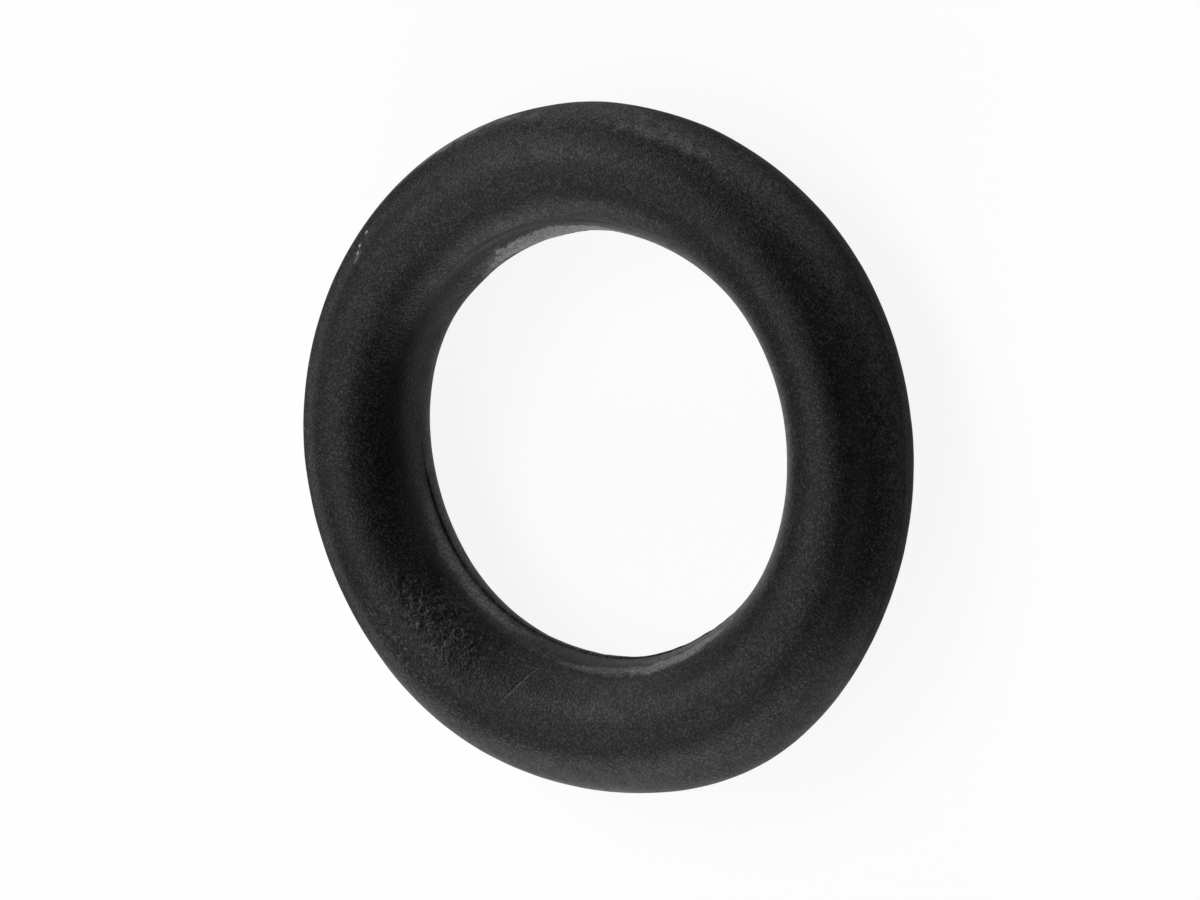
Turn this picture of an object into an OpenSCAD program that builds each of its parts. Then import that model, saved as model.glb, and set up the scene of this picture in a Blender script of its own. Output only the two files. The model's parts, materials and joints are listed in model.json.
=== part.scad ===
// Moulded rubber O-ring, lying flat on Z = 0 with its hole along Z.
// One solid: a round section turned about Z, with the two ridges that the mould
// leaves where its halves part, one round the hole and one round the outside.
// Each ridge has a cylindrical nose, where its flash was trimmed off, and a
// small fillet down each flank to the round of the section.

/* [Ring] */
// Diameter of the hole, between the rounds of the section
inner_d = 12; // [6:0.5:40]
// Diameter of the round section
section_d = 3.5; // [2.5:0.1:6]

/* [Mould line] */
// Width of the trimmed nose of either ridge, along the ring's axis
flash_w = 0.2; // [0.1:0.05:0.4]
// How far the ridge in the hole stands proud of the round
inner_flash_h = 0.1; // [0.05:0.01:0.2]
// How far the ridge on the outside stands proud of the round
outer_flash_h = 0.04; // [0.03:0.01:0.2]
// Radius of the fillets between a ridge and the round
flash_fillet = 0.08; // [0.02:0.01:0.2]

/* [Hidden] */
// Facets round a full turn
facets = 180;

section_r = section_d / 2;
// Radius of the circle that the middle of the section follows
pitch_r = inner_d / 2 + section_r;
// The fillet ends a little short of the nose, so that the flank keeps a flat
flank_share = 0.9;
// How deep a fillet's circle cuts into the round, so that the two cross and don't just touch
fillet_bite = 0.004;

// Largest fillet radius that fits under a ridge of height h: at it, the circle that
// touches both the round and the flank would touch the flank at the nose
function fillet_limit(h) =
    (pow(section_r + h, 2) - pow(section_r, 2) + pow(flash_w / 2, 2)) / (section_d - flash_w);

function fillet_r(h) = min(flash_fillet, flank_share * fillet_limit(h));

// One ridge on the +X side of a section that is centred on the origin. Its two
// fillets are what is left of a triangle, from the section's centre out to the
// centres of the fillets, once the fillets' circles are taken out of it.
module flash_ridge(h) {
    f = fillet_r(h);
    fillet_z = flash_w / 2 + f;
    fillet_x = sqrt(pow(section_r + f - fillet_bite, 2) - pow(fillet_z, 2));
    translate([0, -flash_w / 2])
        square([section_r + h, flash_w]);
    difference() {
        polygon([
            [0, 0],
            [fillet_x, -fillet_z],
            [fillet_x, fillet_z]
        ]);
        for (side = [-1, 1])
            translate([fillet_x, side * fillet_z])
                circle(r = f, $fn = facets);
    }
}

// The ring's section, centred on the origin, with the hole on its -X side
module ring_section() {
    circle(r = section_r, $fn = facets);
    flash_ridge(outer_flash_h);
    mirror([1, 0])
        flash_ridge(inner_flash_h);
}

module o_ring() {
    color([0.06, 0.06, 0.062])
        translate([0, 0, section_r])
            rotate_extrude($fn = facets)
                translate([pitch_r, 0])
                    ring_section();
}

o_ring();
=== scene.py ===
"""A moulded rubber O-ring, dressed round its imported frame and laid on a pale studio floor.

The ring is drawn as one section, spun round its axis and then given what moulding, trimming
and use leave on it: a slightly fat side, a wavy trimmed mould line, a scuffed patch, nicks
and pits. Everything is in metres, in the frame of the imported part.
"""

import json
import math

import bpy
from bpy.props import FloatProperty, FloatVectorProperty, IntProperty, PointerProperty
from bpy.types import Operator, Panel, PropertyGroup
from mathutils import Matrix, Vector
from mathutils.noise import fractal


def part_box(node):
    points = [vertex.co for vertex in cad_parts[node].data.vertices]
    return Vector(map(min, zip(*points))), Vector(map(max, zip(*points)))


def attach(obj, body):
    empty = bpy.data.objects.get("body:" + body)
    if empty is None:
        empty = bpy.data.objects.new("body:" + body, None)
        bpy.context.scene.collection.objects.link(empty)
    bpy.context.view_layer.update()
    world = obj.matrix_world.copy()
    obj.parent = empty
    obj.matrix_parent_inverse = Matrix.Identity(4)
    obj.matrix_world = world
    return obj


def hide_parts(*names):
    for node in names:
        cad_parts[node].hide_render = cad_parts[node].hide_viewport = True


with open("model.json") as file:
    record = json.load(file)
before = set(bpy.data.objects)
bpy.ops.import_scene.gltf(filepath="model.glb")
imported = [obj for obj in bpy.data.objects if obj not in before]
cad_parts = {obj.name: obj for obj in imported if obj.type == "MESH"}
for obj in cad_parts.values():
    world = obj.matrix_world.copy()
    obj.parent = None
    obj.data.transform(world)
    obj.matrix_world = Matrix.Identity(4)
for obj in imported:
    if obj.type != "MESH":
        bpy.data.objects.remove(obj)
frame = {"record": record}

bl_info = {
    "name": "Moulded O-Ring",
    "version": (1, 0, 0),
    "blender": (4, 5, 0),
    "location": "3D View > Sidebar > O-Ring",
    "description": "Builds a moulded rubber O-ring and a pale studio to see it in",
    "category": "Object",
}

NODE = "o_ring"
BODY = "root"
MM = 0.001
TURN = 2 * math.pi
TURN_DEGREES = 360.0
HALF_TURN_DEGREES = 180.0
WHITE = (1, 1, 1, 1)
# The middle of what a noise gives, which runs from 0 to 1.
NOISE_MIDDLE = 0.5

# The section's drawing. Steps are edges along a round. The fillet clearance is how much wider
# than the fillet the gap is that it is drawn in, and the hair share is how near a point must
# come to a height to count as on it, as a share of the flank's run.
FILLET_STEPS = 4
FILLET_CLEARANCE = 1.2
CORNER_STEPS = 2
HAIR_SHARE = 0.25
# Farther from the mould line than any point of the ring, in metres.
FAR_OFF = 1.0
# How near two points must be to count as one, in millimetres: in a cut and at the seam.
CUT_GAP = 0.0001
SEAM_GAP = 0.001

# How the mould line in the hole was trimmed: how far the trimming reaches past its foot, as a
# share of the fillet, how deep the low nose is and how much the rest wanders, as shares of
# the line's height.
TRIM_REACH = 1.5
TRIM_DEPTH = 1.8
TRIM_WANDER = 0.25
# The wander's size in millimetres, its roughness, the step between its layers and their count.
WANDER_SIZE = 0.45
WANDER_ROUGHNESS = 0.8
WANDER_STEP = 2.0
WANDER_LAYERS = 3

# The lamps all stand at one distance and have one width: name, angle round the ring from +X,
# height above the floor as an angle, and power in watts.
LAMP_DISTANCE = 0.5
LAMP_WIDTH = 0.23
LAMPS = (
    ("low right middle", 0, 14, 0.325),
    ("low right far", 26, 14, 0.397),
    ("low left far", 129, 14, 0.363),
    ("low left middle", 154, 14, 0.707),
    ("low left near", 180, 14, 0.61),
    ("low near", 283, 14, 0.118),
    ("key", 36, 46, 0.836),
    ("key far", 72, 46, 0.328),
    ("high left", 123, 62, 0.485),
)

# The floor is a wide disc whose rim bends up, in metres.
FLOOR_RADIUS = 2.0
FLOOR_EDGES = 96
FLOOR_BEND_RUN = 0.25
FLOOR_BEND_RISE = 0.14
FLOOR_BEND_STEPS = 8
FLOOR_ROUGHNESS = 0.9

# The camera's sensor in millimetres, and the nearest and farthest it sees in metres.
SENSOR_WIDTH = 36
SIGHT = (0.01, 10)

# Marks on the rubber, and patches of painted highlight and painted shade laid in its colour.
# Each lies round one place on the ring: its angle round the ring from +X,
# its angle round the section from the outside over the top, and its reach both ways, all in
# degrees. Then how far it slants round the ring for each degree round the section, how ragged
# and how soft its edge is, how much paler it is, its rise in millimetres, and the same two
# for its rim.
MARKS = (
    # Painted highlight: a pale band on the wall of the hole just above the mould line, where the
    # gloss catches the light.
    ("bright band", 113, 170.5, 20, 7, 0, 0.8, 0.7, 0.12, 0, 0, 0),
    ("bright band faint", 112, 169, 34, 8, 0, 0.8, 0.7, 0.03, 0, 0, 0),
    ("bright band low", 150, 158, 16, 5, 0, 0.7, 0.5, 0.015, 0, 0, 0),
    # Painted highlight: pale patches on the low wall of the hole, where its gloss reflects the
    # white floor at a grazing angle.
    ("main painted highlight on hole rim", 105, 195, 50, 12, 0, 0.6, 0.5, 0.025, 0, 0, 0),
    ("low painted highlight on hole rim", 152, 184, 20, 8, 0, 0.6, 0.5, 0.015, 0, 0, 0),
    ("far painted highlight on hole rim", 56, 199, 32, 13, 0, 0.6, 0.5, 0.01, 0, 0, 0),
    # Painted shade: darker bands along the edge of the hole.
    ("far painted shade on rim", 60, 160, 40, 24, 0, 0.5, 0.8, -0.02, 0, 0, 0),
    ("middle painted shade on rim", 131, 177, 13, 8, 0, 0.5, 0.4, -0.02, 0, 0, 0),
    ("low painted shade on rim", 159, 166, 18, 9, 0, 0.5, 0.3, -0.03, 0, 0, 0),
    # A shallow groove along the trimmed mould line, darkened with painted shade.
    ("trim groove with painted shade", 103, 188, 24, 1.1, 0, 0.7, 0.4, -0.01, -0.005, 0, 0),
    # Painted highlight: pale patches on the upper wall of the hole, where the gloss catches the
    # light.
    ("low painted highlight in hole", 168, 154, 14, 4, 0, 0.7, 0.45, 0.06, 0, 0, 0),
    ("left painted highlight in hole", 190, 149.5, 16, 6, 0, 0.8, 0.4, 0.11, 0, 0, 0),
    # A raised lump of torn mould flash; its paleness is painted highlight and the darker rim round
    # it is painted shade.
    ("main torn-flash lump, painted highlight and shade", -5, 167, 25, 17, 0, 0.5, 0.14, 0.145, 0.02, -0.05, -0.02),
    ("left torn-flash lump, painted highlight and shade", 15, 167, 13, 17, 0, 0.9, 0.2, 0.035, 0.02, -0.02, -0.01),
    # A shallow groove just above the torn lump, darkened with painted shade.
    ("torn groove with painted shade", 0, 141.5, 27, 2.4, 0, 0.5, 0.7, -0.04, -0.01, 0, 0),
    # Painted highlight: a pale band along the edge of the hole.
    ("painted highlight on hole edge", 2, 178, 25, 8, 0, 0.9, 0.3, 0.07, 0, 0, 0),
    # Painted highlight: a pale band along the outer edge, where the gloss catches light at a
    # grazing angle.
    ("rim edge high", 22, 19.5, 17, 8.5, 0, 1.2, 0.6, 0.1, 0, 0, 0),
    ("pit", 33.1, 172.6, 0.95, 3.3, 0, 0.2, 0.3, 0, -0.05, 0.05, 0.004),
    ("scratch", 147.2, 122, 0.36, 18, 0.11, 0.6, 0.7, 0.035, -0.012, 0, 0),
    ("scratch faint", 148.4, 157, 0.2, 14, 0.035, 0.9, 0.6, 0.015, -0.003, 0, 0),
    ("short scratch", 260.4, 64, 0.22, 3.5, 0, 0.2, 0.5, 0.025, -0.003, 0, 0),
    ("nick low", 34.9, 48.7, 0.42, 1.9, 0, 0.3, 0.3, 0.3, -0.01, 0, 0),
    ("nick middle", 37.4, 53.1, 0.36, 1.7, 0, 0.3, 0.3, 0.3, -0.01, 0, 0),
    ("nick high", 38.6, 57.4, 0.5, 1.8, 0, 0.9, 0.3, 0.22, -0.01, 0, 0),
    ("nick dust", 38.9, 60.5, 1.2, 2.4, 0, 1.4, 0.4, 0.08, 0, 0, 0),
    ("speck left", 74, 43, 0.26, 1.3, 0, 0.2, 0.3, 0.15, 0, 0, 0),
    ("speck right", 62.5, 43.6, 0.26, 1.3, 0, 0.2, 0.3, 0.15, 0, 0, 0),
    # Painted highlight: pale glints along the outer slope.
    ("long painted glint on outer slope", 305, 27, 42, 17, 0, 0.9, 0.9, 0.048, 0, 0, 0),
    ("bright painted glint on outer slope", 328, 37, 10, 7, 0, 0.9, 0.8, 0.03, 0, 0, 0),
    # Painted shade: darker bands along the near edge of the hole and on the near outer slope.
    ("near painted shade on rim", 275, 150, 100, 11, 0, 0.3, 0.7, -0.014, 0, 0, 0),
    ("painted shade on near slope", 262, 42, 34, 24, 0, 0.3, 0.7, -0.014, 0, 0, 0),
    ("crater high", 122.5, 125.5, 1.5, 5.8, 0, 0.7, 0.35, 0, -0.014, 0.01, 0.007),
    ("crater low", 113.3, 79.4, 1.35, 6.2, 0, 0.7, 0.35, 0, -0.014, 0.006, 0.007),
    ("crater middle", 129.4, 87.6, 1.35, 6.2, 0, 0.7, 0.35, 0, -0.014, 0.006, 0.007),
)

# Where the outer slope is as glossy as the top: name, angle round the ring
# and reach in degrees, and share.
GLOSSY_RIMS = (
    ("glossy rim low", 143, 32, 0.85),
    ("glossy rim left", 194, 34, 0.75),
    ("glossy rim high", 354, 24, 0.4),
)

# Places where the ring is a little thicker, or thinner where the length is below 0: name, angle
# round the ring and reach in degrees, side (1 outwards, -1 into the hole) and length in
# millimetres.
SWELLS = (
    ("swell left outside", 195, 30, 1, 0.09),
    ("swell near outside", 238, 26, 1, -0.03),
    ("swell right outside", 283, 22, 1, 0.028),
    ("swell high outside", 310, 18, 1, -0.028),
    ("swell top outside", 346, 14, 1, 0.03),
    ("swell far outside", 76, 12, 1, 0.02),
    ("swell low outside", 129, 34, 1, 0.065),
    ("swell near inside", 247, 28, -1, 0.036),
    ("swell right inside", 288, 25, -1, -0.016),
    ("swell high inside", 25, 24, -1, 0.13),
    ("swell torn inside", 4, 22, -1, 0.13),
    ("swell top inside", -31, 38, -1, 0.09),
    ("swell left inside", 196, 26, -1, 0.074),
    ("swell low inside", 152, 48, -1, 0.072),
    ("swell far inside", 90, 40, -1, 0.082),
)

# Slight waves of the whole surface: name, size and strength in millimetres. Then how many
# finer layers each has.
WAVES = (
    ("long waves", 1.6, 0.014),
    ("short waves", 0.55, 0.006),
)
WAVE_LAYERS = 1

# Where the rubber is duller, in degrees round the section: a glossy rim's place and reach on
# the outer slope, where the dull outer slope turns glossy, and where the low side of the hole
# turns dull. The hole's dullness is a share of the outer slope's.
GLOSSY_SECTION = 25
GLOSSY_SECTION_REACH = 42
EDGE_STEP = (38.0, 66.0)
HOLE_STEP = (150.0, 188.0)
HOLE_DULLNESS = 0.5

# The scuffed patch and its core, each as the first seven values of a mark.
SCUFF_PATCH = (122, 104, 15, 52, 0, 0.6, 0.4)
SCUFF_CORE = (122, 115, 8.5, 32, 0, 0.7, 0.5)

# What lies in the scuffed patch. Sizes and rises are in millimetres, a lift is how much paler
# the rubber is, and a step is where a pattern's values turn into a mask.
VEIN_SIZE = 0.55
VEIN_DETAIL = 1.5
VEIN_STEP = (0.004, 0.05)
VEIN_LIFT = 0.012
VEIN_RISE = 0.008
RING_SPACE = 0.5
RING_RAG = 0.12
HOLLOW_STEP = (0.22, 0.34)
HOLLOW_LIFT = -0.01
HOLLOW_RISE = -0.012
LIP_PLACE = 0.36
LIP_STEP = (0.02, 0.09)
LIP_LIFT = 0.02
LIP_RISE = 0.012
WORN_SIZE = 0.2
WORN_RISE = 0.02
DENT_SIZE = 0.26
DENT_RISE = 0.05
DENT_DETAIL = 1.0
PIT_SIZE = 0.13
PIT_STEP = (0.6, 0.72)
PIT_LIFT = 0.02
PIT_RISE = -0.02

# Patterns of the whole rubber: the mottle, the rag of the marks' edges, and the flecks that
# break up what is pale. Sizes are in millimetres, and the darkest is a colour value.
MOTTLE_SIZE = 0.6
MOTTLE_DETAIL = 3.0
RAG_SIZE = 0.35
RAG_DETAIL = 4.0
RAG_SPREAD = 2.0
FLECK_SIZE = 0.07
FLECK_DETAIL = 2.0
FLECK_STEP = (0.3, 0.68)
FLECK_SHARE = 1.1
FLECK_LEAST = 0.45
DARKEST = 0.001

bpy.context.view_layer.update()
LOW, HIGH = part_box(NODE)
SEATS = {mount["name"]: mount["dims"] for mount in frame["record"]["mounts"]}


class RingSizes(PropertyGroup):
    """The true section of the ring, as it was moulded."""

    section_d: FloatProperty(
        name="Section",
        description="Diameter of the round section",
        default=HIGH.z - LOW.z,
        unit="LENGTH",
    )
    outer_nose_r: FloatProperty(
        name="Outer nose",
        description="Radius of the mould line round the outside",
        default=SEATS["gland_wall"]["r_mm"] * MM,
        unit="LENGTH",
    )
    outer_flash_h: FloatProperty(
        name="Outer flash",
        description="How far the mould line round the outside stands proud of the round",
        default=0.04 * MM,
        unit="LENGTH",
    )
    flash_w: FloatProperty(
        name="Flash width",
        description="Height of the trimmed nose of the mould line",
        default=0.2 * MM,
        unit="LENGTH",
    )
    flash_fillet: FloatProperty(
        name="Flash fillet",
        description="Size of the hollow between the mould line in the hole and the round",
        default=0.03 * MM,
        unit="LENGTH",
    )
    flash_z: FloatProperty(
        name="Flash height",
        description="Height of the middle of the mould line above the floor",
        default=(HIGH.z - LOW.z) / 2 - 0.1 * MM,
        unit="LENGTH",
    )
    flank_run: FloatProperty(
        name="Flank run",
        description="How far the flank of the mould line leans from its nose to its foot",
        default=0.008 * MM,
        unit="LENGTH",
    )
    corner_r: FloatProperty(
        name="Corner",
        description="Size of the round along the edges of the trimmed nose",
        default=0.005 * MM,
        unit="LENGTH",
    )
    section_steps: IntProperty(
        name="Section steps",
        description="Edges round the section",
        default=104,
    )
    ring_steps: IntProperty(
        name="Ring steps",
        description="Edges round the ring",
        default=480,
    )


class MouldingFaults(PropertyGroup):
    """How the ring differs from a true one. Angles round the ring are seen from above, from +X."""

    outer_flash_left: FloatProperty(
        name="Outer flash left",
        description="What trimming has left of the mould line round the outside",
        default=0.002 * MM,
        unit="LENGTH",
    )
    inner_flash_left: FloatProperty(
        name="Inner flash left",
        description="What trimming has left of the mould line round the hole",
        default=0.055 * MM,
        unit="LENGTH",
    )
    slimness: FloatProperty(
        name="Slimness",
        description="Width of the section as a share of its height",
        default=0.977,
    )
    trim_angle: FloatProperty(
        name="Low nose",
        description="Where the mould line in the hole is trimmed lowest",
        default=math.radians(50),
        unit="ROTATION",
    )
    trim_before: FloatProperty(
        name="Low nose before",
        description="How far before the lowest place the low nose starts",
        default=math.radians(85),
        unit="ROTATION",
    )
    trim_after: FloatProperty(
        name="Low nose after",
        description="How far after the lowest place the low nose ends",
        default=math.radians(52),
        unit="ROTATION",
    )
    fat_angle: FloatProperty(
        name="Fat side",
        description="Where the section is widest",
        default=math.radians(184),
        unit="ROTATION",
    )
    fat_before: FloatProperty(
        name="Fat side before",
        description="How far before the widest place the fat side starts",
        default=math.radians(135),
        unit="ROTATION",
    )
    fat_after: FloatProperty(
        name="Fat side after",
        description="How far after the widest place the fat side ends",
        default=math.radians(72),
        unit="ROTATION",
    )
    fat_height: FloatProperty(
        name="Fat side height",
        description="How far the fat side stands out, inwards and outwards",
        default=0.131 * MM,
        unit="LENGTH",
    )
    pull_angles: FloatVectorProperty(
        name="Pull angles",
        description="Where the ring is pulled out of round",
        default=(math.radians(72), math.radians(193), math.radians(303)),
        unit="ROTATION",
    )
    pull_lengths: FloatVectorProperty(
        name="Pull lengths",
        description="How far the ring is pulled out of round at each place",
        default=(0.045 * MM, 0.09 * MM, 0.085 * MM),
        unit="LENGTH",
    )
    pull_reach: FloatProperty(
        name="Pull reach",
        description="How far from each pull the ring still moves",
        default=6.8 * MM,
        unit="LENGTH",
    )
    tightness: FloatProperty(
        name="Tightness",
        description="How much the circle of the section is drawn in before the pulls",
        default=0.035 * MM,
        unit="LENGTH",
    )


class RubberFinish(PropertyGroup):
    """The colour, grain and gloss of the rubber."""

    black: FloatProperty(
        name="Black",
        description="Colour value between the specks; below 0 more of it stays at its darkest",
        default=-0.0085,
    )
    speck_lift: FloatProperty(
        name="Speck lift",
        description="How much paler the palest specks are",
        default=0.05,
    )
    speck_power: FloatProperty(
        name="Speck power",
        description="How rare the palest specks are",
        default=2.2,
    )
    speck_size: FloatProperty(
        name="Speck size",
        description="Size of a speck",
        default=0.038 * MM,
        unit="LENGTH",
    )
    mottle_lift: FloatProperty(
        name="Mottle lift",
        description="How much paler or darker the clouds of the mottle are",
        default=0.012,
    )
    mottle_rise: FloatProperty(
        name="Mottle rise",
        description="How high the clouds of the mottle stand",
        default=0.012 * MM,
        unit="LENGTH",
    )
    pimple_size: FloatProperty(
        name="Pimple size",
        description="Size of the finest unevenness",
        default=0.06 * MM,
        unit="LENGTH",
    )
    pimple_rise: FloatProperty(
        name="Pimple rise",
        description="Height of the finest unevenness",
        default=0.009 * MM,
        unit="LENGTH",
    )
    gloss: FloatProperty(
        name="Gloss",
        description="Strength of the shine of the surface",
        default=0.25,
        subtype="FACTOR",
    )
    roughness: FloatProperty(
        name="Roughness",
        description="Roughness of the top of the ring",
        default=0.45,
        subtype="FACTOR",
    )
    edge_roughness: FloatProperty(
        name="Edge roughness",
        description="How much rougher the outer slope is",
        default=0.5,
        subtype="FACTOR",
    )
    mottle_roughness: FloatProperty(
        name="Mottle roughness",
        description="How much rougher the clouds of the mottle are",
        default=0.25,
    )
    speck_roughness: FloatProperty(
        name="Speck roughness",
        description="How much smoother a pale speck is than a dark one",
        default=0.15,
    )


class StudioLook(PropertyGroup):
    """The floor, the lamps and the camera."""

    floor_colour: FloatVectorProperty(
        name="Floor",
        description="Colour of the pale floor",
        default=(0.8, 0.8, 0.8),
        subtype="COLOR",
    )
    floor_white: FloatProperty(
        name="Floor white",
        description="Strength of the white that the floor shows to the eye and in gloss",
        default=1.06,
    )
    floor_white_share: FloatProperty(
        name="Floor white share",
        description="How much of the floor's look is that white; the rest keeps the shadows",
        default=0.85,
        subtype="FACTOR",
    )
    room_light: FloatProperty(
        name="Room light",
        description="Strength of the even light from all round",
        default=0.02,
    )
    view_width: FloatProperty(
        name="View width",
        description="Width of what the camera sees at the ring",
        default=32.80 * MM,
        unit="LENGTH",
    )
    view_distance: FloatProperty(
        name="View distance",
        description="Distance from the camera to the ring",
        default=0.5,
        unit="LENGTH",
    )
    view_shift_right: FloatProperty(
        name="View shift right",
        description="How far right of the ring's middle the camera looks",
        default=-0.2009 * MM,
        unit="LENGTH",
    )
    view_shift_up: FloatProperty(
        name="View shift up",
        description="How far above the ring's middle the camera looks",
        default=-0.1233 * MM,
        unit="LENGTH",
    )
    view_elevation: FloatProperty(
        name="View elevation",
        description="Height of the camera above the plane of the ring, as an angle",
        default=math.radians(57.74),
        unit="ROTATION",
    )
    view_roll: FloatProperty(
        name="View roll",
        description="Turn of the camera about its own line of sight",
        default=math.radians(-104.13),
        unit="ROTATION",
    )


def pitch_r(sizes):
    """Radius of the circle that the middle of the section follows."""
    return sizes.outer_nose_r - sizes.outer_flash_h - sizes.section_d / 2


def deselect_all():
    """Leaves nothing selected, so that the next operator works on its own piece only."""
    bpy.ops.object.select_all(action="DESELECT")


def select_vertices(piece, chosen):
    """Selects the vertices whose place passes the test, from object mode."""
    bpy.ops.object.mode_set(mode="EDIT")
    bpy.ops.mesh.select_mode(type="VERT")
    bpy.ops.mesh.select_all(action="DESELECT")
    bpy.ops.object.mode_set(mode="OBJECT")
    for vertex in piece.data.vertices:
        vertex.select = chosen(vertex.co)
    bpy.ops.object.mode_set(mode="EDIT")


def add_section(sizes):
    """The round of the section, as a loop of edges in the XZ plane."""
    section_r = sizes.section_d / 2
    deselect_all()
    bpy.ops.mesh.primitive_circle_add(
        vertices=sizes.section_steps,
        radius=section_r,
        location=(pitch_r(sizes), 0, section_r),
        rotation=(math.pi / 2, 0, 0),
    )
    piece = bpy.context.object
    bpy.ops.object.transform_apply(location=True, rotation=True, scale=True)
    return piece


def cut_section(piece, height):
    """Adds a vertex on both sides of the section wherever it crosses a height."""
    select_vertices(piece, lambda co: True)
    bpy.ops.mesh.bisect(plane_co=(0, 0, height), plane_no=(0, 0, 1), threshold=CUT_GAP * MM)
    bpy.ops.object.mode_set(mode="OBJECT")


def raise_mould_line(piece, sizes, side, height, fillet):
    """Draws one ridge of the mould line out of the section; side is 1 outside, -1 in the hole."""
    half = sizes.flash_w / 2
    foot = half + sizes.flank_run
    toe = foot + fillet * FILLET_CLEARANCE
    hair = sizes.flank_run * HAIR_SHARE

    def off_line(co):
        """Height above or below the mould line on this side, or far off on the other side."""
        on_side = (co.x - pitch_r(sizes)) * side > 0
        return abs(co.z - sizes.flash_z) if on_side else FAR_OFF

    select_vertices(piece, lambda co: half + hair < off_line(co) < foot - hair)
    bpy.ops.mesh.dissolve_verts()
    bpy.ops.object.mode_set(mode="OBJECT")
    select_vertices(piece, lambda co: foot + hair < off_line(co) < toe)
    bpy.ops.mesh.dissolve_verts()
    bpy.ops.object.mode_set(mode="OBJECT")
    select_vertices(piece, lambda co: off_line(co) < half + hair)
    bpy.ops.transform.translate(value=(side * height, 0, 0))
    bpy.ops.object.mode_set(mode="OBJECT")
    if fillet > 0:
        select_vertices(piece, lambda co: abs(off_line(co) - foot) < hair)
        bpy.ops.mesh.bevel(offset=fillet, segments=FILLET_STEPS, affect="VERTICES")
        bpy.ops.object.mode_set(mode="OBJECT")
        select_vertices(piece, lambda co: abs(off_line(co) - half) < hair)
        bpy.ops.mesh.bevel(offset=sizes.corner_r, segments=CORNER_STEPS, affect="VERTICES")
        bpy.ops.object.mode_set(mode="OBJECT")


def narrow_section(piece, sizes, faults):
    """Narrows the section a little and draws it in towards the axis."""
    middle = Vector((pitch_r(sizes), 0, sizes.section_d / 2))
    select_vertices(piece, lambda co: True)
    bpy.ops.transform.resize(value=(faults.slimness, 1, 1), center_override=middle)
    bpy.ops.transform.translate(value=(-faults.tightness, 0, 0))
    bpy.ops.object.mode_set(mode="OBJECT")


def ring_angle(co):
    """Angle of a point round the ring, seen from above, from +X."""
    return math.atan2(co.y, co.x)


def section_angle(co, sizes):
    """Angle of a point round the section: 0 outwards, a quarter turn at the top."""
    return math.atan2(co.z - sizes.section_d / 2, math.hypot(co.x, co.y) - pitch_r(sizes))


def between(angle, start):
    """The signed way from one angle to another, at most half a turn."""
    return (angle - start + math.pi) % TURN - math.pi


def pull_out_of_round(piece, sizes, faults):
    """Pulls the ring outwards at a few places, with a soft reach round each."""
    step = TURN / sizes.ring_steps
    for angle, length in zip(faults.pull_angles, faults.pull_lengths):
        select_vertices(piece, lambda co: abs(between(ring_angle(co), angle)) < step)
        bpy.ops.transform.translate(
            value=(length * math.cos(angle), length * math.sin(angle), 0),
            use_proportional_edit=True,
            proportional_edit_falloff="SMOOTH",
            proportional_size=faults.pull_reach,
        )
        bpy.ops.object.mode_set(mode="OBJECT")


def weigh(piece, name, weight):
    """Names a new vertex group whose weight at each vertex is what weight(place) gives."""
    group = piece.vertex_groups.new(name=name)
    for vertex in piece.data.vertices:
        share = weight(vertex.co)
        if share > 0:
            group.add((vertex.index,), min(share, 1), "REPLACE")
    return group.name


def hump(way):
    """A smooth hump: 1 where the way is 0, and 0 from a way of 1 on, to either side."""
    return math.cos(way * math.pi / 2) ** 2 if abs(way) < 1 else 0


def displace(piece, name, strength, group=None, texture=None, middle=0.0, direction="NORMAL"):
    """Moves the surface along its normals, or along one axis, and applies the move."""
    modifier = piece.modifiers.new(name, "DISPLACE")
    modifier.strength = strength
    modifier.mid_level = middle
    modifier.direction = direction
    modifier.texture_coords = "LOCAL"
    if texture:
        modifier.texture = texture
    if group:
        modifier.vertex_group = group
    bpy.context.view_layer.objects.active = piece
    bpy.ops.object.modifier_apply(modifier=modifier.name)


def push_from_axis(piece, name, strength, share):
    """Pushes the surface level, away from the axis, by share(place) of the strength."""
    pushes = []
    for axis, direction in enumerate("XY"):
        for sign in (-1, 1):

            def weight(co):
                return share(co) * sign * co[axis] / math.hypot(co.x, co.y)

            pushes.append((weigh(piece, name, weight), sign, direction))
    for group, sign, direction in pushes:
        displace(piece, name, sign * strength, group, direction=direction)


def fatten_side(piece, sizes, faults):
    """Widens the section along one side of the ring, and leaves its height alone."""

    def share(co):
        way = between(ring_angle(co), faults.fat_angle)
        way /= faults.fat_before if way < 0 else faults.fat_after
        side = math.cos(section_angle(co, sizes))
        return hump(way) * side * abs(side)

    push_from_axis(piece, "fat side", faults.fat_height, share)


def swell_places(piece, sizes):
    """Swells or thins the ring at a few places, on one side of the section or the other."""
    for name, angle, reach, side, length in SWELLS:

        def share(co):
            way = between(ring_angle(co), math.radians(angle)) / math.radians(reach)
            facing = max(0, side * math.cos(section_angle(co, sizes)))
            return hump(way) * facing ** 2

        push_from_axis(piece, name, side * length * MM, share)


def proud_of_round(co, sizes, faults):
    """How far a point on the hole side stands in front of the round of the section."""
    section_r = sizes.section_d / 2
    chord = math.sqrt(max(section_r ** 2 - (co.z - section_r) ** 2, 0))
    round_r = pitch_r(sizes) - faults.tightness - faults.slimness * chord
    return round_r - math.hypot(co.x, co.y)


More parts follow.
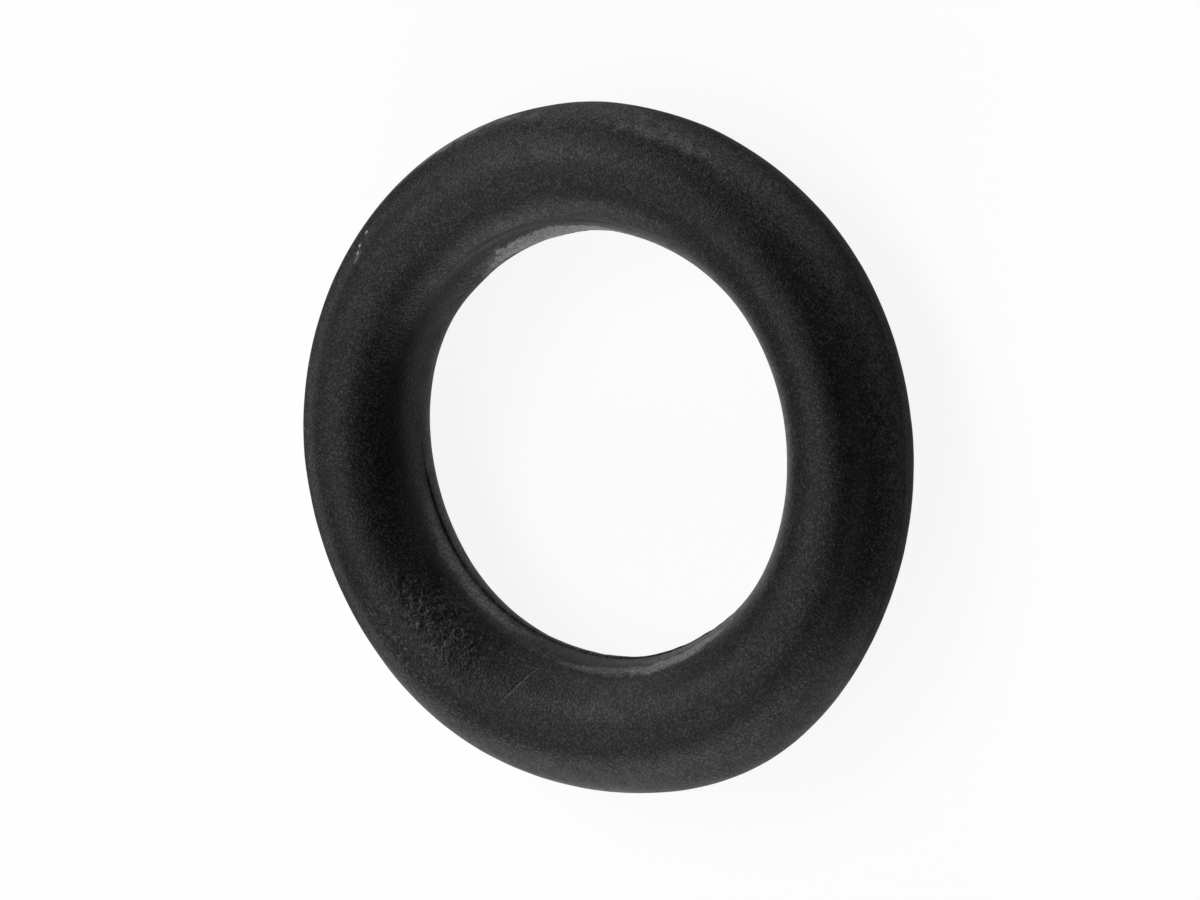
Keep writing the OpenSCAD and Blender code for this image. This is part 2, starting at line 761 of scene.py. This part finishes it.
def trim_mould_line(piece, sizes, faults):
    """Wears down the mould line in the hole by an amount that wanders round the ring."""
    toe = sizes.flash_w / 2 + sizes.flank_run + TRIM_REACH * sizes.flash_fillet

    def share(co):
        if abs(co.z - sizes.flash_z) > toe or math.hypot(co.x, co.y) > pitch_r(sizes):
            return 0
        way = between(ring_angle(co), faults.trim_angle)
        way /= faults.trim_before if way < 0 else faults.trim_after
        worn = min(1, max(0, TRIM_DEPTH * hump(way) + TRIM_WANDER * (NOISE_MIDDLE + wander(co))))
        return worn * max(0, proud_of_round(co, sizes, faults)) / faults.inner_flash_left

    push_from_axis(piece, "trimmed nose", faults.inner_flash_left, share)


def wander(co):
    """A smooth wander between about -1 and 1 for a place on the ring."""
    return fractal(
        co / (WANDER_SIZE * MM),
        WANDER_ROUGHNESS,
        WANDER_STEP,
        WANDER_LAYERS,
        noise_basis="PERLIN_ORIGINAL",
    )


def make_uneven(piece):
    """Gives the surface the slight waves of moulded rubber."""
    for name, size, strength in WAVES:
        texture = bpy.data.textures.new(name, "CLOUDS")
        texture.noise_scale = size * MM
        texture.noise_depth = WAVE_LAYERS
        displace(piece, name, strength * MM, texture=texture, middle=NOISE_MIDDLE)


def spin_section(piece, sizes):
    """Turns the section once round the axis and closes the ring."""
    bpy.ops.object.mode_set(mode="EDIT")
    bpy.ops.mesh.select_all(action="SELECT")
    bpy.ops.mesh.spin(
        steps=sizes.ring_steps,
        angle=TURN,
        center=(0, 0, 0),
        axis=(0, 0, 1),
    )
    bpy.ops.mesh.select_all(action="SELECT")
    bpy.ops.mesh.remove_doubles(threshold=SEAM_GAP * MM)
    bpy.ops.mesh.normals_make_consistent(inside=False)
    bpy.ops.object.mode_set(mode="OBJECT")
    bpy.ops.object.shade_smooth()


class RING_OT_make(Operator):
    """Models the rubber ring and gives it its finish"""

    bl_idname = "o_ring.make"
    bl_label = "Rubber ring"

    def execute(self, context):
        sizes = context.scene.ring_sizes
        faults = context.scene.moulding_faults
        piece = add_section(sizes)
        for drop in (-1, 1):
            for reach in (sizes.flash_w / 2, sizes.flash_w / 2 + sizes.flank_run):
                cut_section(piece, sizes.flash_z + drop * reach)
        raise_mould_line(piece, sizes, 1, faults.outer_flash_left, 0)
        raise_mould_line(piece, sizes, -1, faults.inner_flash_left, sizes.flash_fillet)
        narrow_section(piece, sizes, faults)
        spin_section(piece, sizes)
        trim_mould_line(piece, sizes, faults)
        pull_out_of_round(piece, sizes, faults)
        fatten_side(piece, sizes, faults)
        swell_places(piece, sizes)
        make_uneven(piece)
        piece.name = "rubber_ring"
        piece.data.name = "rubber_ring"
        piece.data.materials.clear()
        piece.data.materials.append(rubber_material(sizes, context.scene.rubber_finish))
        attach(piece, BODY)
        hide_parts(NODE)
        return {"FINISHED"}


def add_node(tree, kind, **settings):
    """Adds a node with the given settings."""
    made = tree.nodes.new(kind)
    for name, value in settings.items():
        setattr(made, name, value)
    return made


def feed(tree, socket, value):
    """Joins a socket to another node's output, or sets it to a plain value."""
    if isinstance(value, bpy.types.NodeSocket):
        tree.links.new(value, socket)
    else:
        socket.default_value = value


def calculate(tree, operation, *values, clamp=False):
    """The result of one Math node."""
    made = add_node(tree, "ShaderNodeMath", operation=operation, use_clamp=clamp)
    for socket, value in zip(made.inputs, values):
        feed(tree, socket, value)
    return made.outputs["Value"]


def distance(tree, across, along):
    """How far a point is from the origin of two axes."""
    across_square = calculate(tree, "MULTIPLY", across, across)
    along_square = calculate(tree, "MULTIPLY", along, along)
    return calculate(tree, "SQRT", calculate(tree, "ADD", across_square, along_square))


def turn_between(tree, angle, start):
    """The signed way from one angle to another in degrees, at most half a turn."""
    way = calculate(tree, "SUBTRACT", angle, start)
    return calculate(tree, "WRAP", way, HALF_TURN_DEGREES, -HALF_TURN_DEGREES)


def ramp(tree, value, start, end, from_start=0.0, to_end=1.0):
    """A soft step from one value to another while the input runs from start to end."""
    made = add_node(tree, "ShaderNodeMapRange", interpolation_type="SMOOTHSTEP")
    names = ("Value", "From Min", "From Max", "To Min", "To Max")
    for name, given in zip(names, (value, start, end, from_start, to_end)):
        feed(tree, made.inputs[name], given)
    return made.outputs["Result"]


def noise(tree, place, size, detail=0.0):
    """Soft noise from 0 to 1 with patches of about the given size."""
    made = add_node(tree, "ShaderNodeTexNoise")
    feed(tree, made.inputs["Vector"], place)
    made.inputs["Scale"].default_value = 1 / size
    made.inputs["Detail"].default_value = detail
    return made.outputs["Fac"]


def new_group(name, inputs, outputs):
    """An empty node group with named sockets; an input is a name, a kind and a default."""
    tree = bpy.data.node_groups.new(name, "ShaderNodeTree")
    for label, kind, value in inputs:
        socket = tree.interface.new_socket(name=label, in_out="INPUT", socket_type=kind)
        if value is not None:
            socket.default_value = value
    for label in outputs:
        tree.interface.new_socket(name=label, in_out="OUTPUT", socket_type="NodeSocketFloat")
    return tree, add_node(tree, "NodeGroupInput").outputs, add_node(tree, "NodeGroupOutput").inputs


def place_group(tree, group, label, **values):
    """Places a node group in a material and fills its inputs; underscores stand for spaces."""
    made = add_node(tree, "ShaderNodeGroup", label=label)
    made.node_tree = group
    for name, value in values.items():
        feed(tree, made.inputs[name.replace("_", " ")], value)
    return made.outputs


def ring_angles_group():
    """A place's angles round the ring and round the section, in degrees."""
    tree, given, made = new_group(
        "Ring angles",
        (
            ("Place", "NodeSocketVector", None),
            ("Pitch radius", "NodeSocketFloat", 0.0),
            ("Section radius", "NodeSocketFloat", 0.0),
        ),
        ("Round ring", "Round section"),
    )
    split = add_node(tree, "ShaderNodeSeparateXYZ")
    feed(tree, split.inputs["Vector"], given["Place"])
    x, y, z = split.outputs
    rise = calculate(tree, "SUBTRACT", z, given["Section radius"])
    out = calculate(tree, "SUBTRACT", distance(tree, x, y), given["Pitch radius"])
    round_ring = calculate(tree, "ARCTAN2", y, x)
    round_section = calculate(tree, "ARCTAN2", rise, out)
    feed(tree, made["Round ring"], calculate(tree, "DEGREES", round_ring))
    feed(tree, made["Round section"], calculate(tree, "DEGREES", round_section))
    return tree


def ring_patch_group():
    """A mask for one mark, and one for its rim, from its angles on the ring and its reach."""
    tree, given, made = new_group(
        "Ring patch",
        (
            ("Round ring", "NodeSocketFloat", 0.0),
            ("Round section", "NodeSocketFloat", 0.0),
            ("Ring angle", "NodeSocketFloat", 0.0),
            ("Section angle", "NodeSocketFloat", 0.0),
            ("Ring reach", "NodeSocketFloat", 1.0),
            ("Section reach", "NodeSocketFloat", 1.0),
            ("Slant", "NodeSocketFloat", 0.0),
            ("Raggedness", "NodeSocketFloat", 0.0),
            ("Softness", "NodeSocketFloat", 0.1),
            ("Noise", "NodeSocketFloat", 0.5),
        ),
        ("Inside", "Rim"),
    )
    along = turn_between(tree, given["Round section"], given["Section angle"])
    slanted = calculate(tree, "MULTIPLY", along, given["Slant"])
    middle = calculate(tree, "ADD", given["Ring angle"], slanted)
    across = turn_between(tree, given["Round ring"], middle)
    wide = calculate(tree, "DIVIDE", across, given["Ring reach"])
    high = calculate(tree, "DIVIDE", along, given["Section reach"])
    uneven = calculate(tree, "SUBTRACT", given["Noise"], NOISE_MIDDLE)
    rag = calculate(tree, "MULTIPLY", uneven, given["Raggedness"])
    rag = calculate(tree, "MULTIPLY", rag, RAG_SPREAD)
    far = calculate(tree, "ADD", distance(tree, wide, high), rag)
    start = calculate(tree, "SUBTRACT", 1.0, given["Softness"])
    end = calculate(tree, "ADD", 1.0, given["Softness"])
    feed(tree, made["Inside"], ramp(tree, far, start, end, 1.0, 0.0))
    off_rim = calculate(tree, "ABSOLUTE", calculate(tree, "SUBTRACT", far, 1.0))
    feed(tree, made["Rim"], ramp(tree, off_rim, 0.0, given["Softness"], 1.0, 0.0))
    return tree


def rubber_grain_group():
    """The fine speckle, the cloudy mottle and the small unevenness of moulded rubber."""
    tree, given, made = new_group(
        "Rubber grain",
        (
            ("Place", "NodeSocketVector", None),
            ("Specks", "NodeSocketFloat", 1.0),
            ("Mottle rise", "NodeSocketFloat", 0.0),
            ("Pimples", "NodeSocketFloat", 1.0),
            ("Pimple rise", "NodeSocketFloat", 0.0),
        ),
        ("Speck", "Mottle", "Height"),
    )
    place = given["Place"]
    cells = add_node(tree, "ShaderNodeTexVoronoi")
    feed(tree, cells.inputs["Vector"], place)
    feed(tree, cells.inputs["Scale"], given["Specks"])
    split = add_node(tree, "ShaderNodeSeparateColor")
    feed(tree, split.inputs["Color"], cells.outputs["Color"])
    feed(tree, made["Speck"], split.outputs["Red"])
    mottle = noise(tree, place, MOTTLE_SIZE * MM, MOTTLE_DETAIL)
    feed(tree, made["Mottle"], calculate(tree, "SUBTRACT", mottle, NOISE_MIDDLE))
    pimples = add_node(tree, "ShaderNodeTexNoise")
    feed(tree, pimples.inputs["Vector"], place)
    feed(tree, pimples.inputs["Scale"], given["Pimples"])
    pimples.inputs["Detail"].default_value = 0
    height = calculate(tree, "MULTIPLY", pimples.outputs["Fac"], given["Pimple rise"])
    height = calculate(tree, "MULTIPLY_ADD", mottle, given["Mottle rise"], height)
    feed(tree, made["Height"], height)
    return tree


class Coat:
    """The rubber's colour and relief as marks and painted light and shade are laid on, one over the
    other.
    """

    def __init__(self, tree, pale, height):
        self.tree = tree
        self.pale = pale
        self.height = height

    def lay(self, mask, lift, rise):
        """Makes the rubber paler by lift and higher by rise millimetres where the mask is 1."""
        if lift:
            self.pale = calculate(self.tree, "MULTIPLY_ADD", mask, lift, self.pale)
        if rise:
            self.height = calculate(self.tree, "MULTIPLY_ADD", mask, rise * MM, self.height)


def add_scuffs(tree, coat, place, rag, patch, core):
    """Lays the veins, rings, dents and pits of the scuffed patch on the coat."""

    def within(mask, value):
        return calculate(tree, "MULTIPLY", value, mask)

    def off(value, middle):
        return calculate(tree, "ABSOLUTE", calculate(tree, "SUBTRACT", value, middle))

    vein = off(noise(tree, place, VEIN_SIZE * MM, VEIN_DETAIL), NOISE_MIDDLE)
    coat.lay(within(core, ramp(tree, vein, *VEIN_STEP, 1.0, 0.0)), VEIN_LIFT, VEIN_RISE)
    rings = add_node(tree, "ShaderNodeTexVoronoi")
    feed(tree, rings.inputs["Vector"], place)
    rings.inputs["Scale"].default_value = 1 / (RING_SPACE * MM)
    from_middle = calculate(tree, "MULTIPLY_ADD", rag, RING_RAG, rings.outputs["Distance"])
    hollow = ramp(tree, from_middle, *HOLLOW_STEP, 1.0, 0.0)
    coat.lay(within(core, hollow), HOLLOW_LIFT, HOLLOW_RISE)
    lip = ramp(tree, off(from_middle, LIP_PLACE), *LIP_STEP, 1.0, 0.0)
    coat.lay(within(core, lip), LIP_LIFT, LIP_RISE)
    coat.lay(within(patch, noise(tree, place, WORN_SIZE * MM, DENT_DETAIL)), 0, WORN_RISE)
    coat.lay(within(core, noise(tree, place, DENT_SIZE * MM, DENT_DETAIL)), 0, DENT_RISE)
    pits = ramp(tree, noise(tree, place, PIT_SIZE * MM), *PIT_STEP)
    coat.lay(within(patch, pits), PIT_LIFT, PIT_RISE)


def rubber_material(sizes, finish):
    """Matt black moulded rubber with its speckle, scuffs, nicks, painted highlights and painted
    shade.
    """
    material = bpy.data.materials.new("black rubber")
    material.use_nodes = True
    tree = material.node_tree
    shader = tree.nodes["Principled BSDF"]
    shader.inputs["Specular IOR Level"].default_value = finish.gloss
    place = add_node(tree, "ShaderNodeTexCoord").outputs["Object"]
    angles = place_group(
        tree, ring_angles_group(), "ring angles",
        Place=place, Pitch_radius=pitch_r(sizes), Section_radius=sizes.section_d / 2,
    )
    grain = place_group(
        tree, rubber_grain_group(), "grain",
        Place=place, Specks=1 / finish.speck_size, Mottle_rise=finish.mottle_rise,
        Pimples=1 / finish.pimple_size, Pimple_rise=finish.pimple_rise,
    )
    rag = noise(tree, place, RAG_SIZE * MM, RAG_DETAIL)
    patch = ring_patch_group()

    def add_patch(name, ring, section, ring_reach, section_reach, slant=0, ragged=0, soft=0.3):
        """One mark's masks."""
        return place_group(
            tree, patch, name,
            Round_ring=angles["Round ring"], Round_section=angles["Round section"],
            Ring_angle=ring, Section_angle=section,
            Ring_reach=ring_reach, Section_reach=section_reach,
            Slant=slant, Raggedness=ragged, Softness=soft, Noise=rag,
        )

    coat = Coat(
        tree,
        calculate(tree, "MULTIPLY", grain["Mottle"], finish.mottle_lift),
        grain["Height"],
    )
    # Lays each mark; some of them are painted highlights or painted shade in the colour.
    for name, *where, lift, rise, rim_lift, rim_rise in MARKS:
        mark = add_patch(name, *where)
        coat.lay(mark["Inside"], lift, rise)
        coat.lay(mark["Rim"], rim_lift, rim_rise)
    scuff = add_patch("scuffed patch", *SCUFF_PATCH)["Inside"]
    core = add_patch("scuffed core", *SCUFF_CORE)["Inside"]
    add_scuffs(tree, coat, place, rag, scuff, core)

    speck = calculate(tree, "POWER", grain["Speck"], finish.speck_power)
    dark = calculate(tree, "MULTIPLY_ADD", speck, finish.speck_lift, finish.black)
    fleck = ramp(tree, noise(tree, place, FLECK_SIZE * MM, FLECK_DETAIL), *FLECK_STEP)
    flecked = calculate(tree, "MULTIPLY_ADD", fleck, FLECK_SHARE, FLECK_LEAST)
    pale = calculate(tree, "MULTIPLY", coat.pale, flecked)
    colour = calculate(tree, "ADD", dark, pale, clamp=True)
    feed(tree, shader.inputs["Base Color"], calculate(tree, "MAXIMUM", colour, DARKEST))

    section_turn = calculate(tree, "ADD", angles["Round section"], TURN_DEGREES)
    section_turn = calculate(tree, "MODULO", section_turn, TURN_DEGREES)
    off_outside = calculate(tree, "ABSOLUTE", angles["Round section"])
    outside_edge = ramp(tree, off_outside, *EDGE_STEP, 1.0, 0.0)
    hole_edge = ramp(tree, section_turn, *HOLE_STEP, 0.0, HOLE_DULLNESS)
    edge = calculate(tree, "MAXIMUM", outside_edge, hole_edge)
    for name, ring, ring_reach, share in GLOSSY_RIMS:
        glossy = add_patch(name, ring, GLOSSY_SECTION, ring_reach, GLOSSY_SECTION_REACH)
        dull = calculate(tree, "MULTIPLY_ADD", glossy["Inside"], -share, 1.0)
        edge = calculate(tree, "MULTIPLY", edge, dull)
    roughness = calculate(tree, "MULTIPLY_ADD", edge, finish.edge_roughness, finish.roughness)
    roughness = calculate(tree, "MULTIPLY_ADD", grain["Mottle"], finish.mottle_roughness, roughness)
    uneven = calculate(tree, "SUBTRACT", NOISE_MIDDLE, grain["Speck"])
    roughness = calculate(tree, "MULTIPLY_ADD", uneven, finish.speck_roughness, roughness)
    feed(tree, shader.inputs["Roughness"], roughness)
    bump = add_node(tree, "ShaderNodeBump")
    bump.inputs["Distance"].default_value = 1.0
    bump.inputs["Strength"].default_value = 1.0
    feed(tree, bump.inputs["Height"], coat.height)
    feed(tree, shader.inputs["Normal"], bump.outputs["Normal"])
    return material


def floor_material(look):
    """A pale matt floor that keeps shadows and looks nearly white to the eye and in gloss."""
    material = bpy.data.materials.new("pale floor")
    material.use_nodes = True
    tree = material.node_tree
    shader = tree.nodes["Principled BSDF"]
    shader.inputs["Base Color"].default_value = (*look.floor_colour, 1)
    shader.inputs["Roughness"].default_value = FLOOR_ROUGHNESS
    shader.inputs["Specular IOR Level"].default_value = 0.0
    white = add_node(tree, "ShaderNodeEmission")
    white.inputs["Color"].default_value = WHITE
    white.inputs["Strength"].default_value = look.floor_white
    path = add_node(tree, "ShaderNodeLightPath").outputs
    sight = calculate(tree, "MAXIMUM", path["Is Camera Ray"], path["Is Glossy Ray"])
    sight = calculate(tree, "MAXIMUM", sight, path["Is Transmission Ray"])
    mix = add_node(tree, "ShaderNodeMixShader")
    share = calculate(tree, "MULTIPLY", sight, look.floor_white_share)
    feed(tree, mix.inputs["Fac"], share)
    feed(tree, mix.inputs[1], shader.outputs["BSDF"])
    feed(tree, mix.inputs[2], white.outputs["Emission"])
    feed(tree, tree.nodes["Material Output"].inputs["Surface"], mix.outputs["Shader"])
    return material


def add_floor():
    """A wide disc whose rim bends up, so that it fills a level view too."""
    bpy.ops.mesh.primitive_circle_add(
        vertices=FLOOR_EDGES,
        radius=FLOOR_RADIUS,
        fill_type="NGON",
    )
    floor = bpy.context.object
    floor.name = "floor"
    bpy.ops.object.mode_set(mode="EDIT")
    bpy.ops.mesh.select_all(action="SELECT")
    bpy.ops.mesh.region_to_loop()
    radius = FLOOR_RADIUS
    height = 0
    for step in range(1, FLOOR_BEND_STEPS + 1):
        bend = step / FLOOR_BEND_STEPS * math.pi / 2
        reach = FLOOR_RADIUS + FLOOR_BEND_RUN * math.sin(bend)
        rise = FLOOR_BEND_RISE * (1 - math.cos(bend))
        bpy.ops.mesh.extrude_region_move(TRANSFORM_OT_translate={"value": (0, 0, rise - height)})
        bpy.ops.transform.resize(
            value=(reach / radius, reach / radius, 1),
            center_override=(0, 0, 0),
        )
        radius = reach
        height = rise
    bpy.ops.mesh.select_all(action="SELECT")
    bpy.ops.mesh.normals_make_consistent(inside=False)
    bpy.ops.object.mode_set(mode="OBJECT")
    bpy.ops.object.shade_smooth()
    return floor


def add_lamp(name, angle, rise, power, middle):
    """One round soft lamp that faces the ring."""
    light = bpy.data.lights.new(name, "AREA")
    light.shape = "DISK"
    light.size = LAMP_WIDTH
    light.energy = power
    lamp = bpy.data.objects.new(name, light)
    bpy.context.scene.collection.objects.link(lamp)
    turn = math.radians(angle)
    tilt = math.radians(rise)
    away = Vector((
        math.cos(tilt) * math.cos(turn),
        math.cos(tilt) * math.sin(turn),
        math.sin(tilt),
    ))
    lamp.location = middle + away * LAMP_DISTANCE
    lamp.rotation_euler = away.to_track_quat("Z", "Y").to_euler()
    lamp.visible_camera = False


def add_camera(look, middle):
    """The camera, above the near side of the ring and turned about its line of sight."""
    rise = look.view_elevation
    back = Vector((0, -math.cos(rise), math.sin(rise)))
    turn = Matrix.Rotation(look.view_roll, 3, back)
    right = turn @ Vector((1, 0, 0))
    up = back.cross(right)
    data = bpy.data.cameras.new("camera")
    data.sensor_width = SENSOR_WIDTH
    data.lens = data.sensor_width * look.view_distance / look.view_width
    data.clip_start, data.clip_end = SIGHT
    camera = bpy.data.objects.new("camera", data)
    bpy.context.scene.collection.objects.link(camera)
    centre = middle + right * look.view_shift_right + up * look.view_shift_up
    camera.matrix_world = Matrix.Translation(centre + back * look.view_distance) @ Matrix(
        (right, up, back)
    ).transposed().to_4x4()
    bpy.context.scene.camera = camera


class RING_OT_stage(Operator):
    """Lays the pale floor and sets the lamps and the camera"""

    bl_idname = "o_ring.stage"
    bl_label = "Studio"

    def execute(self, context):
        look = context.scene.studio_look
        deselect_all()
        floor = add_floor()
        floor.data.materials.append(floor_material(look))
        world = bpy.data.worlds.new("studio")
        context.scene.world = world
        world.use_nodes = True
        sky = world.node_tree.nodes["Background"]
        sky.inputs["Color"].default_value = WHITE
        sky.inputs["Strength"].default_value = look.room_light
        middle = Vector((0, 0, (LOW.z + HIGH.z) / 2))
        for name, angle, rise, power in LAMPS:
            add_lamp(name, angle, rise, power, middle)
        add_camera(look, middle)
        context.scene.view_settings.view_transform = "Standard"
        return {"FINISHED"}


class RING_PT_panel(Panel):
    """Lists the makers of the ring and of its studio"""

    bl_idname = "RING_PT_panel"
    bl_label = "O-Ring"
    bl_space_type = "VIEW_3D"
    bl_region_type = "UI"
    bl_category = "O-Ring"

    def draw(self, context):
        layout = self.layout
        for operator in OPERATORS:
            layout.operator(operator.bl_idname)


OPERATORS = (RING_OT_make, RING_OT_stage)
CLASSES = (RingSizes, MouldingFaults, RubberFinish, StudioLook, *OPERATORS, RING_PT_panel)


def register():
    for cls in CLASSES:
        bpy.utils.register_class(cls)
    bpy.types.Scene.ring_sizes = PointerProperty(type=RingSizes)
    bpy.types.Scene.moulding_faults = PointerProperty(type=MouldingFaults)
    bpy.types.Scene.rubber_finish = PointerProperty(type=RubberFinish)
    bpy.types.Scene.studio_look = PointerProperty(type=StudioLook)


def unregister():
    del bpy.types.Scene.studio_look
    del bpy.types.Scene.rubber_finish
    del bpy.types.Scene.moulding_faults
    del bpy.types.Scene.ring_sizes
    for cls in reversed(CLASSES):
        bpy.utils.unregister_class(cls)


def main():
    register()
    bpy.ops.o_ring.make()
    bpy.ops.o_ring.stage()


if __name__ == "__main__":
    main()
